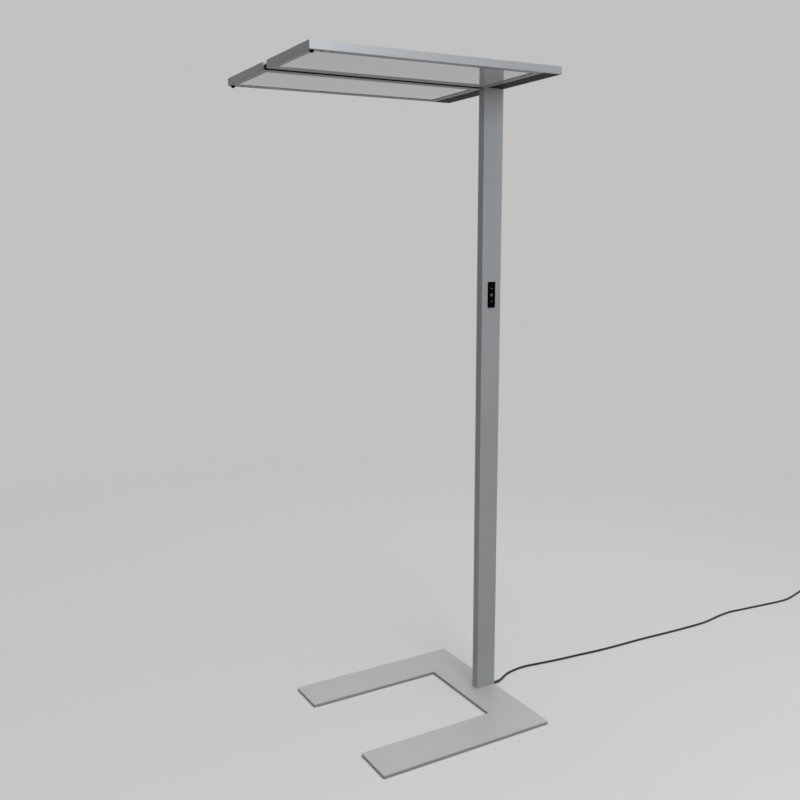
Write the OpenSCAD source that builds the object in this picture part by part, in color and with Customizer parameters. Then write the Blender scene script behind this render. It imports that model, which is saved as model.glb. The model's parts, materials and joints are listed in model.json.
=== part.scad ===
// Office floor lamp: two flat light panels on a slim column, with a U-shaped base that takes a desk leg.
// Millimetres. X runs forwards from the column to the tip of the head, Y across the lamp, Z up.
// The origin is on the floor, under the middle of the head.

/* [Head] */
// Height of the lamp, floor to the top of the head
lamp_h = 1950; // [1700:10:2100]
// Length of the head, back to front
head_l = 766; // [680:2:860]
// Width of one light panel
panel_w = 259.5; // [240:0.5:300]
// Thickness of the head
head_t = 21; // [20.5:0.5:28]
// Wall of a panel's frame
frame_wall = 3; // [2.5:0.1:4]
// Radius of a panel's corners, seen from above
frame_r = 1; // [0.5:0.1:2.4]
// Chamfer along a panel's lower edges
frame_edge = 1.5; // [0.5:0.1:2]
// Width of the lips round the light opening
lip_w = 20; // [19:0.5:24]
// Thickness of the lips
lip_t = 2; // [1.5:0.1:3]
// Length of the driver bay at the rear of each panel
bay_l = 62; // [58:1:80]
// Thickness of the lid on top of each panel
lid_t = 2; // [1.5:0.1:3]

/* [Light stack] */
// Thickness of the opal diffuser
diffuser_t = 3; // [2:0.1:3.5]
// Thickness of the light guide
guide_t = 4; // [3:0.1:4.5]
// Thickness of the reflector sheet
reflector_t = 1; // [0.5:0.1:1.4]
// Thickness of the plate that holds the stack down
back_plate_t = 1.5; // [1:0.1:1.9]
// How far the stack reaches over the lips
stack_overlap = 3.5; // [2:0.1:4]
// Length of the window for the upward light
window_l = 480; // [300:5:540]
// Width of the window for the upward light
window_w = 140; // [100:1:160]
// Thickness of that window
window_t = 2; // [1:0.1:2.4]

/* [Column] */
// Depth of the column, back to front
col_d = 70; // [66:1:80]
// Width of the column, which is also the gap between the panels
col_w = 28; // [26:0.5:32]
// Wall of the column
col_wall = 2.4; // [2:0.1:3]
// Radius of the column's corners
col_r = 1; // [0.5:0.1:2.4]
// Thickness of the cap on the column
cap_t = 2; // [1.5:0.1:3]
// Height of the bracket inside the column's top
bracket_h = 70; // [50:1:120]
// Length of the bracket's tongue inside the spine
tongue_l = 120; // [90:1:160]
// Wall of the spine between the panels
spine_wall = 2.5; // [2:0.1:3]

/* [Base] */
// Length of the base plate, back to front
base_l = 590; // [500:1:680]
// Width of the base plate
base_w = 582; // [520:1:680]
// Width of each arm
arm_w = 132; // [110:1:160]
// Depth of the cross-piece under the column
cross_w = 131; // [110:1:160]
// Thickness of the base plate
base_t = 8; // [8:0.5:12]
// Radius of the plate's corners
base_r = 4; // [2:0.5:8]
// Height of the glides under the plate
glide_t = 2; // [1.5:0.1:3]
// Diameter of a glide
glide_d = 25; // [16:1:40]

/* [Keypad] */
// Height of the keypad's centre above the floor
keypad_z = 1318; // [1000:1:1400]
// Width of the keypad's bezel
bezel_w = 28; // [27:0.5:32]
// Height of the keypad's bezel
bezel_h = 80; // [80:1:95]
// Thickness of the bezel
bezel_t = 1.5; // [1.2:0.1:2.5]
// Width of a key
key_w = 16; // [14:0.5:17.5]
// Height of the three keys together
keys_h = 70; // [64:1:71]
// Distance from the mark of one key to the next
key_pitch = 20; // [18:0.5:22]
// Travel of a key
key_travel = 0.6; // [0.4:0.1:0.8]

/* [Lead] */
// Diameter of the mains lead
cord_d = 7; // [6.5:0.1:7]
// Turns in the coil
coil_turns = 5.25; // [2.25:1:7.25]
// Radius of the coil's outermost turn, at its middle
coil_r = 48; // [46:1:70]
// Distance between neighbouring turns
coil_pitch = 7.6; // [7.5:0.1:9]
// Diameter of the plug's body
plug_d = 37; // [35:0.5:40]
// Diameter of a plug pin
pin_d = 4.8; // [4:0.1:4.8]
// Length of a plug pin
pin_l = 19; // [15:0.5:19]
// Distance between the plug pins
pin_pitch = 19; // [17:0.5:20]

/* [Fits] */
// Clearance between pieces that fit into each other
fit = 0.2; // [0.1:0.05:0.3]
// Clearance round a key in its opening
key_gap = 0.3; // [0.2:0.05:0.4]
// Clearance round a screw in its hole
screw_fit = 0.1; // [0.05:0.01:0.2]

/* [Hidden] */
$fn = 48;
eps = 0.01;

// Colours
silver = [0.62, 0.63, 0.65];
steel = [0.55, 0.56, 0.58];
black = [0.06, 0.06, 0.065];
opal = [0.9, 0.9, 0.88];
clear_sheet = [0.8, 0.88, 0.9, 0.5];
white = [0.95, 0.95, 0.95];
board_green = [0.1, 0.35, 0.2];
led_yellow = [0.95, 0.85, 0.4];
nickel = [0.75, 0.74, 0.7];

// Levels and planes of the lamp
x_back = -head_l / 2;
x_front = head_l / 2;
col_x = x_back + col_d / 2;
col_z0 = glide_t + base_t;
col_top = lamp_h - cap_t;
col_front = x_back + col_d;
head_z0 = lamp_h - head_t;
z_lid = lamp_h - lid_t;
z_window = z_lid - window_t;

// One panel: its box, its bay and its light opening, on the side of +Y
panel_y0 = col_w / 2;
panel_y1 = panel_y0 + panel_w;
panel_mid = (panel_y0 + panel_y1) / 2;
bay_x1 = x_back + bay_l;
open_x0 = bay_x1 + lip_w;
open_x1 = x_front - lip_w;
open_y0 = panel_y0 + lip_w;
open_y1 = panel_y1 - lip_w;
partition_t = 2;
ledge_w = 3;
ledge_t = 1.5;
cover_t = 2;

// Light stack, from the lips upwards
z_lip = head_z0 + lip_t;
z_guide = z_lip + diffuser_t;
z_reflector = z_guide + guide_t;
z_back_plate = z_reflector + reflector_t;
z_board = z_back_plate + back_plate_t;
board_t = 1.6;
led_t = 0.7;
led_w = 3;
strip_h = diffuser_t + guide_t;
strip_x0 = open_x0 + 3;
strip_x1 = open_x1 - 63;
strips_leds = 24;
uplight_margin = 10;
uplight_rows = 4;
uplight_columns = 14;
window_seat = 8;
window_r = 6;

// Spine between the panels, and the bracket that carries it
spine_end_gap = 5;
spine_cap_t = 1.5;
spine_z0 = head_z0 + 2;
spine_z1 = lamp_h - 7;
spine_mid = (spine_z0 + spine_z1) / 2;
spine_x1 = x_front - spine_end_gap - spine_cap_t;
spine_in_w = col_w - 2 * spine_wall;
spine_in_h = spine_z1 - spine_z0 - 2 * spine_wall;
cap_rim = 4;
bracket_top = col_top - cap_rim;
bracket_z0 = bracket_top - bracket_h;

// Screws: nominal diameter, head diameter, head height, length
port_screw = [5, 8.6, 1.8, 34];
spine_screw = [4, 7, 2.6, 7];
column_screw = [5, 8.6, 2.8, 12];
lid_screw = [3, 5.6, 1.3, 9];
lid_boss_r = 4;

// Screw ports in the column's corners, measured from its centre
port_r = 3.9;
port_x = col_d / 2 - 7.5;
port_y = col_w / 2 - 4.6;

// Screws along the spine and beside the column
spine_screw_count = 6;
spine_screw_inset = 40;
spine_screw_step = (spine_x1 - col_front - 2 * spine_screw_inset) / (spine_screw_count - 1);
spine_screw_xs = [for (i = [0:spine_screw_count - 1]) col_front + spine_screw_inset + i * spine_screw_step];
column_screw_xs = [col_x - 16, col_x + 16];

// Lid bosses of one panel
bay_boss_in = frame_wall + 3.5;
lid_boss_y = [panel_y0 + 8, panel_y1 - 8];
lid_boss_x = [bay_x1 + lip_w / 2, spine_screw_xs[1] + spine_screw_step / 2,
    spine_screw_xs[3] + spine_screw_step / 2];
lid_bosses = [
    for (x = lid_boss_x, y = lid_boss_y) [x, y, z_lip - eps],
    [x_front - lip_w / 2, panel_y0 + panel_w * 0.2, z_lip - eps],
    [x_front - lip_w / 2, panel_y0 + panel_w * 0.7, z_lip - eps],
    [x_back + bay_boss_in, panel_y0 + bay_boss_in, head_z0 + cover_t],
    [x_back + bay_boss_in, panel_y1 - bay_boss_in, head_z0 + cover_t]];

// Lenses on the outer lip, near the front corner
pir_d = 13;
pir_rise = 6.5;
pir_flange_d = pir_d + 2;
pir_x = x_front - frame_wall - pir_flange_d / 2 - 0.5;
sensor_y = panel_y1 - frame_wall - pir_flange_d / 2 - fit;
light_sensor_x = pir_x - 27;
light_sensor = [8, 6];
remote_x = pir_x - 54;
remote_d = 5;
lens_flange = 1;
lens_out = 0.8;
sensor_board_t = 1.2;

// Driver in the bay
driver_l = 180;
driver_w = 46;
driver_h = 13;
driver_y0 = 40;
driver_x = (x_back + frame_wall + bay_x1) / 2 + 1;
lead_d = 5;
wire_hole_d = 8;

// Keypad, in a frame on the column's face: X across, Y down, Z outwards
tray_w = bezel_w - 4.4;
tray_h = bezel_h - 4.4;
tray_wall = 1.2;
tray_depth = 8;
key_proud = 0.2;
key_r = 1.5;
flange_t = 0.8;
flange_gap = 0.1;
flange_w = key_w + 2.4;
stem_d = 4;
keypad_board_t = 1.2;
switch_w = 6;
switch_h = 0.7;
switch_plunger_h = 0.2;
over_travel = 0.1;
plunger_top = tray_wall + keypad_board_t + switch_h + switch_plunger_h - tray_depth;
stem_end = plunger_top + key_travel + over_travel;

// Lead inside the lamp: in at the plate's rear edge, a bend, then up the column
cord_z = glide_t + base_t / 2;
bend_r = 28;
relief_in = 11;
relief_collar_t = 2;
relief_tail = 12;
relief_x = x_back - relief_collar_t - relief_tail;
cable_x0 = x_back + relief_in;
cable_x = cable_x0 + bend_r;
slot_w = cord_d + 0.2;
splice_l = 4;

// Route of the lead on the floor, from the relief to the coil
cord_lay = 3.6;
cord_route = [
    [relief_x, 0, cord_z], [-407, -0.4, cord_z], [-418, -3.4, 5.4], [-433, -10.5, 4.3], [-454, -22.5, cord_lay],
    [-481, -34, cord_lay], [-533, -43, cord_lay], [-575, -42, cord_lay], [-616, -36, cord_lay],
    [-697, -25, cord_lay], [-784, -17, cord_lay], [-872, -8, cord_lay], [-966, -3, cord_lay],
    [-1064, 0, cord_lay], [-1163, 6, cord_lay], [-1262, 12, cord_lay], [-1369, 15, cord_lay],
    [-1426, 12, cord_lay], [-1498, 1, cord_lay], [-1565, -4, cord_lay], [-1615, 1, cord_lay],
    [-1667, 7, cord_lay], [-1772, 19, cord_lay], [-1829, 25, cord_lay], [-1893, 24, cord_lay],
    [-2005, -2, cord_lay]];
lead_step = 22;
tail_step = 10;
end_stub = 8;

// Coil: it winds inwards on the floor, climbs, and winds out again on top of itself
coil_centre = [-2056, 36];
coil_a0 = -78;
coil_rings = 24;
coil_steps = round(coil_turns * coil_rings);
coil_in = coil_r - coil_pitch * coil_turns / 2;
ease = function (u) let (v = min(1, max(0, u))) v * v * (3 - 2 * v);
coil_at = function (t) let (
        a = coil_a0 - 360 * t,
        r = coil_in + coil_pitch * abs(t - coil_turns / 2),
        climb = ease((t - coil_turns / 2) * 2 + 0.5))
    [coil_centre[0] + r * cos(a), coil_centre[1] + r * sin(a), cord_lay + coil_pitch * climb];
coil_heading = function (t) let (a = coil_a0 - 360 * t) [sin(a), -cos(a), 0];
coil_start = coil_at(0) - cord_d * coil_heading(0);
coil_end = coil_at(coil_turns) + cord_d * coil_heading(coil_turns);
lead_route = concat(cord_route, [coil_start - end_stub * coil_heading(0), coil_start]);

// Plug: it lies on its flat side beside the coil, with its pins along +Y
plug_flat = plug_d / 2 - 2;
plug_body_l = 26;
plug_neck_d = 19;
plug_relief_l = 36;
plug_relief_d = 9.4;
plug_x = -2110;
plug_back = 96;
tail_route = [coil_end, coil_end + end_stub * coil_heading(coil_turns), [-2108, 55, 12.5], [-2110, 74, 15.5],
    [plug_x, plug_back - end_stub, plug_flat], [plug_x, plug_back, plug_flat]];

// ---- Curves and tubes ----

function unit(v) = v / norm(v);
function last(list) = list[len(list) - 1];

// A point on the smooth curve through four neighbours, between the middle two
function between(a, b, c, d, t) =
    0.5 * (2 * b + (c - a) * t + (2 * a - 5 * b + 4 * c - d) * t * t + (3 * b - a - 3 * c + d) * t * t * t);

// A smooth curve through the points, with a point about every step millimetres
function smooth(p, step) = concat([p[0]], [
    for (i = [0:len(p) - 2])
        let (a = i > 0 ? p[i - 1] : 2 * p[0] - p[1],
            d = i < len(p) - 2 ? p[i + 2] : 2 * p[i + 1] - p[i],
            n = max(1, round(norm(p[i + 1] - p[i]) / step)))
        for (k = [1:n]) between(a, p[i], p[i + 1], d, k / n)]);

function direction_at(p, i) = unit(p[min(i + 1, len(p) - 1)] - p[max(i - 1, 0)]);

// Rings of a round tube that follows the points, each square to the path and level across it
function rings(p, r, sides) = [
    for (i = [0:len(p) - 1])
        let (t = direction_at(p, i), across = unit(cross([0, 0, 1], t)), up = cross(t, across))
        for (k = [0:sides - 1]) p[i] + r * (cos(360 * k / sides) * across + sin(360 * k / sides) * up)];

module tube(p, r, sides) {
    n = len(p);
    walls = [for (i = [0:n - 2], k = [0:sides - 1]) let (m = (k + 1) % sides, a = i * sides, b = a + sides)
        each [[a + k, b + k, a + m], [a + m, b + k, b + m]]];
    near_end = [for (k = [sides - 1:-1:0]) sides - 1 - k];
    far_end = [for (k = [sides - 1:-1:0]) (n - 1) * sides + k];
    polyhedron(points = rings(p, r, sides), faces = concat(walls, [near_end], [far_end]));
}

function path_length(p) = len(p) < 2 ? 0 : [for (i = 1, s = norm(p[1] - p[0]); i < len(p);
    i = i + 1, s = s + (i < len(p) ? norm(p[i] - p[i - 1]) : 0)) s][len(p) - 2];

// ---- Shared shapes ----

module rounded_rect(l, w, r) {
    square([l - 2 * r, w], center = true);
    square([l, w - 2 * r], center = true);
    for (x = [-1, 1], y = [-1, 1])
        translate([x * (l / 2 - r), y * (w / 2 - r)]) circle(r = r);
}

module area(x0, y0, x1, y1) {
    translate([x0, y0]) square([x1 - x0, y1 - y0]);
}

// What is left in a square inner corner after a round cutter has passed
module inner_fillet(r) {
    difference() {
        square([r, r]);
        translate([r, r]) circle(r = r);
    }
}

// Countersunk screw: its flat face at the origin, its shank along -Z
module countersunk_screw(s) {
    difference() {
        union() {
            translate([0, 0, -s[2]]) cylinder(d1 = s[0], d2 = s[1], h = s[2]);
            translate([0, 0, -s[3]]) cylinder(d = s[0], h = s[3] - s[2]);
        }
        translate([0, 0, -s[2] * 0.8]) cylinder(d = s[0] * 0.7, h = s[2], $fn = 6);
    }
}

module countersunk_hole(s) {
    translate([0, 0, -s[2]]) cylinder(d1 = s[0] + 2 * screw_fit, d2 = s[1] + 2 * screw_fit, h = s[2]);
    translate([0, 0, -s[3] - 1]) cylinder(d = s[0] + 2 * screw_fit, h = s[3] + 1);
    cylinder(d = s[1] + 2 * screw_fit, h = 1);
}

// Cylinder head screw: the underside of its head at the origin, its shank along -Z
module cylinder_screw(s) {
    difference() {
        union() {
            cylinder(d = s[1], h = s[2]);
            translate([0, 0, -s[3]]) cylinder(d = s[0], h = s[3]);
        }
        translate([0, 0, s[2] * 0.4]) cylinder(d = s[0] * 0.8, h = s[2], $fn = 6);
    }
}

// A hole across the lamp along Y, on both sides of the column
module cross_hole(x, z, d, half) {
    translate([x, half, z]) rotate([90, 0, 0]) cylinder(d = d, h = 2 * half);
}

// Puts what is drawn with its axis along Z on a side wall, pointing outwards along +Y
module on_side(x, y, z) {
    translate([x, y, z]) rotate([-90, 0, 0]) children();
}

module far_side() {
    mirror([0, 1, 0]) children();
}

// ---- Base ----

module base_outline() {
    arm_y = base_w / 2 - arm_w / 2;
    for (s = [-1, 1])
        translate([x_back + base_l / 2, s * arm_y]) rounded_rect(base_l, arm_w, base_r);
    translate([x_back + cross_w / 2, 0]) rounded_rect(cross_w, base_w, base_r);
    for (s = [0, 1]) mirror([0, s, 0])
        translate([x_back + cross_w, base_w / 2 - arm_w]) rotate(-90) inner_fillet(base_r);
}

module base_plate() {
    color(silver)
        difference() {
            translate([0, 0, glide_t]) linear_extrude(base_t) base_outline();
            translate([0, 0, glide_t - 1]) linear_extrude(base_t + 2) lead_slot();
            at_ports() translate([0, 0, glide_t]) rotate([180, 0, 0]) countersunk_hole(port_screw);
        }
}

// Slot in the plate's rear edge, from outside to the point where the lead turns up
module lead_slot() {
    area(x_back - 1, -slot_w / 2, cable_x, slot_w / 2);
    translate([cable_x, 0]) circle(d = slot_w);
}

module base_glides() {
    arm_y = base_w / 2 - arm_w / 2;
    xs = [x_back + cross_w / 2, x_back + base_l / 2, x_back + base_l - arm_w / 3];
    color(black) {
        for (x = xs, s = [-1, 1])
            translate([x, s * arm_y, 0]) cylinder(d = glide_d, h = glide_t);
        for (s = [-1, 1])
            translate([x_back + cross_w / 2, s * (col_w / 2 + glide_d), 0]) cylinder(d = glide_d, h = glide_t);
    }
}

module at_ports() {
    for (x = [-1, 1], y = [-1, 1])
        translate([col_x + x * port_x, y * port_y, 0]) children();
}

module base_screws() {
    color(steel)
        at_ports() translate([0, 0, glide_t]) rotate([180, 0, 0]) countersunk_screw(port_screw);
}

// ---- Column ----

// Hollow of the column less its four screw ports, drawn smaller by a clearance
module column_hollow(clear) {
    difference() {
        square([col_d - 2 * (col_wall + clear), col_w - 2 * (col_wall + clear)], center = true);
        for (x = [-1, 1], y = [-1, 1])
            translate([x * port_x, y * port_y]) circle(r = port_r + clear);
    }
}

module column_section() {
    difference() {
        rounded_rect(col_d, col_w, col_r);
        column_hollow(0);
        for (x = [-1, 1], y = [-1, 1])
            translate([x * port_x, y * port_y]) circle(d = port_screw[0] + 2 * screw_fit);
    }
}

module column_profile() {
    color(silver)
        difference() {
            translate([col_x, 0, col_z0]) linear_extrude(col_top - col_z0) column_section();
            on_column_face() translate([0, 0, -col_wall - 1]) linear_extrude(col_wall + 2)
                rounded_rect(tray_w + 2 * fit, tray_h + 2 * fit, 1);
            tongue_space(fit, col_front - col_wall - 6, col_front + 1);
            for (x = column_screw_xs)
                cross_hole(x, spine_mid, column_screw[0] + 2 * screw_fit, col_w / 2 + 1);
            cross_hole(cable_x, spine_mid, wire_hole_d, col_w / 2 + 1);
        }
}

module column_cap() {
    color(silver)
        translate([col_x, 0, 0]) {
            translate([0, 0, col_top]) linear_extrude(cap_t) rounded_rect(col_d, col_w, col_r);
            translate([0, 0, col_top - cap_rim]) linear_extrude(cap_rim) column_hollow(fit);
        }
}

// ---- What joins the head to the column ----

// Space of the bracket's tongue, grown by a clearance, from one x to another
module tongue_space(clear, x0, x1) {
    w = spine_in_w - 2 * fit + 2 * clear;
    h = spine_in_h - 2 * fit + 2 * clear;
    translate([x0, -w / 2, spine_mid - h / 2]) cube([x1 - x0, w, h]);
}

module head_bracket() {
    color(steel)
        difference() {
            union() {
                translate([col_x, 0, bracket_z0]) linear_extrude(bracket_h) column_hollow(fit);
                tongue_space(0, col_front - col_wall - 6 + fit, col_front + tongue_l);
            }
            translate([cable_x, 0, bracket_z0 - 1]) cylinder(d = cord_d + 2, h = spine_mid - bracket_z0 + 1);
            cross_hole(cable_x, spine_mid, wire_hole_d, col_w);
            for (x = column_screw_xs)
                cross_hole(x, spine_mid, column_screw[0] + 2 * screw_fit, col_w);
            for (x = spine_screw_xs)
                cross_hole(x, spine_mid, spine_screw[0] + 2 * screw_fit, col_w);
        }
}

module head_spine() {
    color(black)
        difference() {
            translate([col_front, -col_w / 2, spine_z0])
                cube([spine_x1 - col_front, col_w, spine_z1 - spine_z0]);
            translate([col_front - 1, -spine_in_w / 2, spine_z0 + spine_wall])
                cube([spine_x1 - col_front + 2, spine_in_w, spine_in_h]);
            for (x = spine_screw_xs)
                cross_hole(x, spine_mid, spine_screw[0] + 2 * screw_fit, col_w);
        }
}

module spine_cap() {
    plug_in = 8;
    color(black) {
        translate([spine_x1, -col_w / 2, spine_z0]) cube([spine_cap_t, col_w, spine_z1 - spine_z0]);
        translate([spine_x1 - plug_in, -spine_in_w / 2 + fit, spine_z0 + spine_wall + fit])
            cube([plug_in, spine_in_w - 2 * fit, spine_in_h - 2 * fit]);
    }
}

module side_screws(s, xs) {
    color(steel)
        for (m = [0, 1], x = xs) mirror([0, m, 0])
            on_side(x, panel_y0 + frame_wall, spine_mid) cylinder_screw(s);
}

module spine_screws() {
    side_screws(spine_screw, spine_screw_xs);
}

module column_screws() {
    side_screws(column_screw, column_screw_xs);
}

// ---- Light panel, drawn on the side of +Y ----

module panel_outline() {
    translate([0, panel_mid]) rounded_rect(head_l, panel_w, frame_r);
}

// The room inside a panel's walls, drawn smaller by a clearance
module panel_room(clear) {
    inset = frame_wall + clear;
    area(x_back + inset, panel_y0 + inset, x_front - inset, panel_y1 - inset);
}

module bay_room(clear) {
    inset = frame_wall + clear;
    area(x_back + inset, panel_y0 + inset, bay_x1 - clear, panel_y1 - inset);
}

// Cuts a chamfer along the four lower edges of a panel
module lower_chamfers() {
    side = frame_edge * sqrt(2);
    for (y = [panel_y0, panel_y1])
        translate([0, y, head_z0]) rotate([45, 0, 0]) cube([head_l + 2, side, side], center = true);
    for (x = [x_back, x_front])
        translate([x, panel_mid, head_z0]) rotate([0, 45, 0]) cube([side, panel_w + 2, side], center = true);
}

module frame() {
    color(silver)
        difference() {
            union() {
                translate([0, 0, head_z0]) linear_extrude(head_t)
                    difference() {
                        panel_outline();
                        panel_room(0);
                    }
                translate([0, 0, head_z0]) linear_extrude(lip_t)
                    difference() {
                        panel_outline();
                        bay_room(0);
                        area(open_x0, open_y0, open_x1, open_y1);
                    }
                translate([0, 0, head_z0 + cover_t]) linear_extrude(ledge_t)
                    difference() {
                        bay_room(-eps);
                        area(x_back + frame_wall + ledge_w, panel_y0 + frame_wall + ledge_w,
                            bay_x1 + 1, panel_y1 - frame_wall - ledge_w);
                    }
                translate([bay_x1, panel_y0 + frame_wall - eps, z_lip - eps])
                    cube([partition_t, panel_w - 2 * frame_wall + 2 * eps, z_lid - z_lip + eps]);
                for (b = lid_bosses)
                    translate(b) cylinder(r = lid_boss_r, h = z_lid - b[2]);
            }
            lower_chamfers();
            at_lid_bosses() countersunk_hole(lid_screw);
            for (x = spine_screw_xs) side_hole(x, spine_screw[0] + 2 * screw_fit);
            for (x = column_screw_xs) side_hole(x, column_screw[0] + 2 * screw_fit);
            side_hole(cable_x, wire_hole_d);
            translate([bay_x1 - 1, panel_mid, z_reflector]) rotate([0, 90, 0])
                cylinder(d = lead_d, h = partition_t + 2);
            translate([pir_x, sensor_y, head_z0 - 1]) cylinder(d = pir_d + 2 * fit, h = lip_t + 2);
            translate([light_sensor_x, sensor_y, head_z0 - 1]) linear_extrude(lip_t + 2)
                oval(light_sensor, fit);
            translate([remote_x, sensor_y, head_z0 - 1]) cylinder(d = remote_d + 2 * fit, h = lip_t + 2);
        }
}

// A hole through the panel's inner side wall, level with the spine
module side_hole(x, d) {
    on_side(x, panel_y0 - 1, spine_mid) cylinder(d = d, h = frame_wall + 2);
}

module at_lid_bosses() {
    for (b = lid_bosses)
        translate([b[0], b[1], lamp_h]) children();
}

module rear_cover() {
    rib_w = 2;
    rib_h = 1.5;
    color(black) {
        translate([0, 0, head_z0]) linear_extrude(cover_t) bay_room(fit);
        for (k = [1:3])
            translate([x_back + frame_wall + ledge_w + 1, panel_y0 + k * panel_w / 4, head_z0 + cover_t - eps])
                cube([bay_l - frame_wall - ledge_w - 3, rib_w, rib_h]);
    }
}

module stack_sheet(z, t) {
    translate([0, 0, z]) linear_extrude(t)
        area(open_x0 - stack_overlap, open_y0 - stack_overlap, open_x1 + stack_overlap, open_y1 + stack_overlap);
}

module diffuser() {
    color(opal) stack_sheet(z_lip, diffuser_t);
}

module light_guide() {
    color(clear_sheet) stack_sheet(z_guide, guide_t);
}

module reflector() {
    color(white) stack_sheet(z_reflector, reflector_t);
}

// The plate also covers the LED strips beside the stack
module back_plate() {
    over = stack_overlap + fit + led_t + board_t;
    color(silver)
        translate([0, 0, z_back_plate]) linear_extrude(back_plate_t)
            area(open_x0 - stack_overlap, open_y0 - over, open_x1 + stack_overlap, open_y1 + over);
}

module led_strip() {
    step = (strip_x1 - strip_x0) / strips_leds;
    color(white)
        translate([strip_x0, led_t, z_lip]) cube([strip_x1 - strip_x0, board_t, strip_h]);
    color(led_yellow)
        for (i = [0:strips_leds - 1])
            translate([strip_x0 + (i + 0.5) * step - led_w / 2, 0, z_guide + (guide_t - led_w) / 2])
                cube([led_w, led_t + eps, led_w]);
}

module led_strips() {
    edge = stack_overlap + fit;
    translate([0, open_y1 + edge, 0]) led_strip();
    translate([0, open_y0 - edge, 0]) mirror([0, 1, 0]) led_strip();
}

module uplight_board() {
    l = window_l - 2 * uplight_margin;
    w = window_w - 2 * uplight_margin;
    translate([0, panel_mid, z_board]) {
        color(white)
            linear_extrude(board_t) square([l, w], center = true);
        color(led_yellow)
            for (i = [0:uplight_columns - 1], j = [0:uplight_rows - 1])
                translate([(i + 0.5) * l / uplight_columns - l / 2, (j + 0.5) * w / uplight_rows - w / 2,
                    board_t + led_t / 2 - eps]) cube([led_w, led_w, led_t], center = true);
    }
}

module window_outline(grow) {
    translate([0, panel_mid]) rounded_rect(window_l + 2 * grow, window_w + 2 * grow, window_r);
}

module uplight_window() {
    color(opal)
        translate([0, 0, z_window]) linear_extrude(window_t) window_outline(window_seat);
}

module top_cover() {
    color(silver)
        difference() {
            translate([0, 0, z_lid]) linear_extrude(lid_t)
                difference() {
                    panel_room(fit);
                    window_outline(0);
                }
            at_lid_bosses() countersunk_hole(lid_screw);
        }
}

module top_cover_screws() {
    color(steel)
        for (m = [0, 1]) mirror([0, m, 0])
            at_lid_bosses() countersunk_screw(lid_screw);
}

module driver() {
    end_step = 3;
    translate([driver_x - driver_w / 2, driver_y0, z_lid - driver_h])
        color(white)
            difference() {
                cube([driver_w, driver_l, driver_h]);
                for (y = [-1, driver_l - end_step])
                    translate([end_step, y, -1]) cube([driver_w - 2 * end_step, end_step + 1, 3]);
            }
}

// ---- Lenses in the panel's outer lip ----

module oval(size, grow) {
    d = size[1] + 2 * grow;
    half = (size[0] - size[1]) / 2;
    square([2 * half, d], center = true);
    for (s = [-1, 1])
        translate([s * half, 0]) circle(d = d);
}

module pir_lens() {
    dome_r = (pir_d * pir_d / 4 + pir_rise * pir_rise) / (2 * pir_rise);
    color(black)
        translate([pir_x, sensor_y, 0]) {
            translate([0, 0, head_z0]) cylinder(d = pir_d, h = lip_t + lens_flange);
            translate([0, 0, z_lip]) cylinder(d = pir_flange_d, h = lens_flange);
            intersection() {
                translate([0, 0, head_z0 - pir_rise + dome_r]) sphere(r = dome_r);
                translate([0, 0, head_z0 - pir_rise - 1]) cylinder(d = pir_d, h = pir_rise + 1);
            }
        }
}

module light_sensor() {
    color(black)
        translate([light_sensor_x, sensor_y, 0]) {
            translate([0, 0, head_z0 - lens_out]) linear_extrude(lip_t + lens_out) oval(light_sensor, 0);
            translate([0, 0, z_lip]) linear_extrude(lens_flange) oval(light_sensor, 1);
        }
}

module remote_eye() {
    color(black)
        translate([remote_x, sensor_y, 0]) {
            translate([0, 0, head_z0 - lens_out]) cylinder(d = remote_d, h = lip_t + lens_out);
            translate([0, 0, z_lip]) cylinder(d = remote_d + 2.5, h = lens_flange);
        }
}

module sensor_board() {
    color(board_green)
        translate([remote_x - 9, sensor_y - 4.5, z_lip + lens_flange])
            cube([pir_x - remote_x + 15, 10.5, sensor_board_t]);
}

// ---- Keypad ----

// Puts the keypad's own frame on the column's face
module on_column_face() {
    translate([col_x, col_w / 2, keypad_z]) rotate([-90, 0, 0]) children();
}

module keypad_bezel() {
    color(black)
        on_column_face() linear_extrude(bezel_t)
            difference() {
                rounded_rect(bezel_w, bezel_h, 2);
                rounded_rect(key_w + 2 * key_gap, keys_h + 2 * key_gap, key_r + key_gap);
            }
}

// The strip of the keypad that one key takes, from its mark halfway to the next mark or to the window's end
module key_strip(place, w) {
    y0 = (place - 0.5) * key_pitch + key_gap / 2;
    y1 = (place + 0.5) * key_pitch - key_gap / 2;
    area(-w / 2, place < 0 ? -keys_h / 2 : y0, w / 2, place > 0 ? keys_h / 2 : y1);
}

module key(place) {
    stem_top = -flange_gap - flange_t;
    color(black)
        on_column_face() {
            translate([0, 0, stem_top]) linear_extrude(bezel_t + key_proud - stem_top)
                intersection() {
                    rounded_rect(key_w, keys_h, key_r);
                    key_strip(place, key_w);
                }
            translate([0, 0, stem_top]) linear_extrude(flange_t) key_strip(place, flange_w);
            translate([0, place * key_pitch, stem_end]) cylinder(d = stem_d, h = stem_top - stem_end + eps);
        }
}

module key_up() {
    key(-1);
}

module key_power() {
    key(0);
}

module key_down() {
    key(1);
}

module keypad_tray() {
    color(black)
        on_column_face() difference() {
            translate([0, 0, -tray_depth]) linear_extrude(tray_depth) rounded_rect(tray_w, tray_h, 1);
            translate([0, 0, tray_wall - tray_depth]) linear_extrude(tray_depth)
                rounded_rect(tray_w - 2 * tray_wall, tray_h - 2 * tray_wall, 0.5);
        }
}

module keypad_board() {
    color(board_green)
        on_column_face() translate([0, 0, tray_wall - tray_depth]) linear_extrude(keypad_board_t)
            square([tray_w - 2 * tray_wall - 2 * fit, tray_h - 2 * tray_wall - 2 * fit], center = true);
}

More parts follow.
